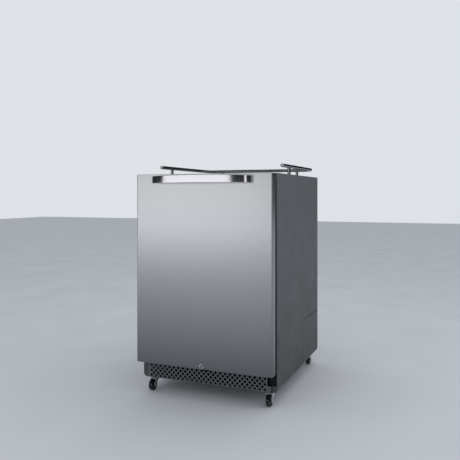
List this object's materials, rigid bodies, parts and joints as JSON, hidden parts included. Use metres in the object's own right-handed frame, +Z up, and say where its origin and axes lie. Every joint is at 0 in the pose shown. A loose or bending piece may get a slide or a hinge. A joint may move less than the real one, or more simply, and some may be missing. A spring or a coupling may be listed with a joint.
{
  "type": "under-counter keg refrigerator",
  "caption": "Under-counter keg refrigerator on swivel casters, with a hinged insulated door, bowed pull handle, key lock, perforated kick grille and a guard rail around the top.",
  "frame": {"origin": "on the floor under the middle of the whole object", "axes": "+X to the right seen from the front, +Y to the back, +Z up; the door faces -Y"},
  "size_m": [0.597, 0.708, 0.9529],
  "materials": {
    "stainless": "fine vertical brushing, semi-gloss",
    "polished_steel": "polished, mirror-like",
    "grey_painted_steel": "satin dark grey lacquer",
    "zinc_plated_steel": "bright zinc plating",
    "black_painted_steel": "matt black",
    "insulating_foam": "cut polyurethane foam",
    "light_plastic": "smooth moulded sheet",
    "black_plastic": "moulded, fine grain",
    "grey_plastic": "moulded, satin",
    "seal_rubber": "soft extruded seal",
    "wheel_rubber": "moulded rubber tread",
    "aluminium_plate": "roll-bonded sheet"
  },
  "bodies": {
    "cabinet": {"keg_floor_plate": "stainless", "guard_rail": "polished_steel", "rail_post_front_left": "polished_steel", "rail_post_front_right": "polished_steel", "rail_post_back_left": "polished_steel", "rail_post_back_right": "polished_steel", "outer_side_left": "grey_painted_steel", "outer_side_right": "grey_painted_steel", "access_cover_right": "grey_painted_steel", "top_panel": "grey_painted_steel", "rear_panel": "grey_painted_steel", "kick_grille": "grey_painted_steel", "base_pan": "zinc_plated_steel", "machine_bay_liner": "zinc_plated_steel", "caster_plate_front_left": "zinc_plated_steel", "caster_plate_front_right": "zinc_plated_steel", "caster_plate_back_left": "zinc_plated_steel", "caster_plate_back_right": "zinc_plated_steel", "rear_grille": "black_painted_steel", "face_frame": "black_painted_steel", "compressor": "black_painted_steel", "condenser": "black_painted_steel", "condenser_fan_shroud": "black_painted_steel", "lock_strike": "black_painted_steel", "hinge_bracket_lower": "black_painted_steel", "hinge_bracket_upper": "black_painted_steel", "insulation_foam": "insulating_foam", "inner_liner": "light_plastic", "thermostat_box": "light_plastic", "tower_hole_cap": "black_plastic", "mains_inlet": "black_plastic", "evaporator_fan_housing": "black_plastic", "hinge_hole_cap_left": "grey_plastic", "rail_cap_left": "grey_plastic", "rail_cap_right": "grey_plastic", "evaporator_plate": "aluminium_plate"},
    "door": {"door_skin": "stainless", "door_foam": "insulating_foam", "door_liner": "black_plastic", "door_gasket": "seal_rubber", "handle_band": "polished_steel", "handle_foot_left": "zinc_plated_steel", "handle_foot_right": "zinc_plated_steel", "lock_barrel": "zinc_plated_steel", "hinge_bush_lower": "grey_plastic", "hinge_bush_upper": "grey_plastic"},
    "lock": {"lock_cylinder": "zinc_plated_steel", "lock_cam": "zinc_plated_steel"},
    "thermostat": {"thermostat_knob": "black_plastic"},
    "evaporator_fan": {"evaporator_fan": "grey_plastic"},
    "condenser_fan": {"condenser_fan": "grey_plastic"},
    "swivel_front_left": {"caster_fork_front_left": "zinc_plated_steel"},
    "wheel_front_left": {"caster_wheel_front_left": "wheel_rubber"},
    "swivel_front_right": {"caster_fork_front_right": "zinc_plated_steel"},
    "wheel_front_right": {"caster_wheel_front_right": "wheel_rubber"},
    "swivel_back_left": {"caster_fork_back_left": "zinc_plated_steel"},
    "wheel_back_left": {"caster_wheel_back_left": "wheel_rubber"},
    "swivel_back_right": {"caster_fork_back_right": "zinc_plated_steel"},
    "wheel_back_right": {"caster_wheel_back_right": "wheel_rubber"}
  },
  "joints": [
    {"name": "door_hinge", "type": "hinge", "parent": "cabinet", "child": "door", "pos_m": [0.283, -0.284, 0.134], "axis": [0, 0, 1], "range_deg": [0, 115]},
    {"name": "lock_turn", "type": "hinge", "parent": "door", "child": "lock", "pos_m": [0, -0.306, 0.1474], "axis": [0, 1, 0], "range_deg": [0, 90]},
    {"name": "thermostat_turn", "type": "hinge", "parent": "cabinet", "child": "thermostat", "pos_m": [0.15, -0.2143, 0.85], "axis": [0, 1, 0], "range_deg": [0, 270]},
    {"name": "evaporator_fan_spin", "type": "hinge", "parent": "cabinet", "child": "evaporator_fan", "pos_m": [0, 0.29, 0.77], "axis": [0, 1, 0], "continuous": true},
    {"name": "condenser_fan_spin", "type": "hinge", "parent": "cabinet", "child": "condenser_fan", "pos_m": [0.085, 0.278, 0.136], "axis": [0, 1, 0], "continuous": true},
    {"name": "swivel_front_left", "type": "hinge", "parent": "cabinet", "child": "swivel_front_left", "pos_m": [-0.262, -0.218, 0.05], "axis": [0, 0, 1], "continuous": true},
    {"name": "roll_front_left", "type": "hinge", "parent": "swivel_front_left", "child": "wheel_front_left", "pos_m": [-0.262, -0.24, 0.023], "axis": [1, 0, 0], "continuous": true},
    {"name": "swivel_front_right", "type": "hinge", "parent": "cabinet", "child": "swivel_front_right", "pos_m": [0.262, -0.218, 0.05], "axis": [0, 0, 1], "continuous": true},
    {"name": "roll_front_right", "type": "hinge", "parent": "swivel_front_right", "child": "wheel_front_right", "pos_m": [0.262, -0.24, 0.023], "axis": [1, 0, 0], "continuous": true},
    {"name": "swivel_back_left", "type": "hinge", "parent": "cabinet", "child": "swivel_back_left", "pos_m": [-0.262, 0.296, 0.05], "axis": [0, 0, 1], "continuous": true},
    {"name": "roll_back_left", "type": "hinge", "parent": "swivel_back_left", "child": "wheel_back_left", "pos_m": [-0.262, 0.318, 0.023], "axis": [1, 0, 0], "continuous": true},
    {"name": "swivel_back_right", "type": "hinge", "parent": "cabinet", "child": "swivel_back_right", "pos_m": [0.262, 0.296, 0.05], "axis": [0, 0, 1], "continuous": true},
    {"name": "roll_back_right", "type": "hinge", "parent": "swivel_back_right", "child": "wheel_back_right", "pos_m": [0.262, 0.318, 0.023], "axis": [1, 0, 0], "continuous": true}
  ]
}
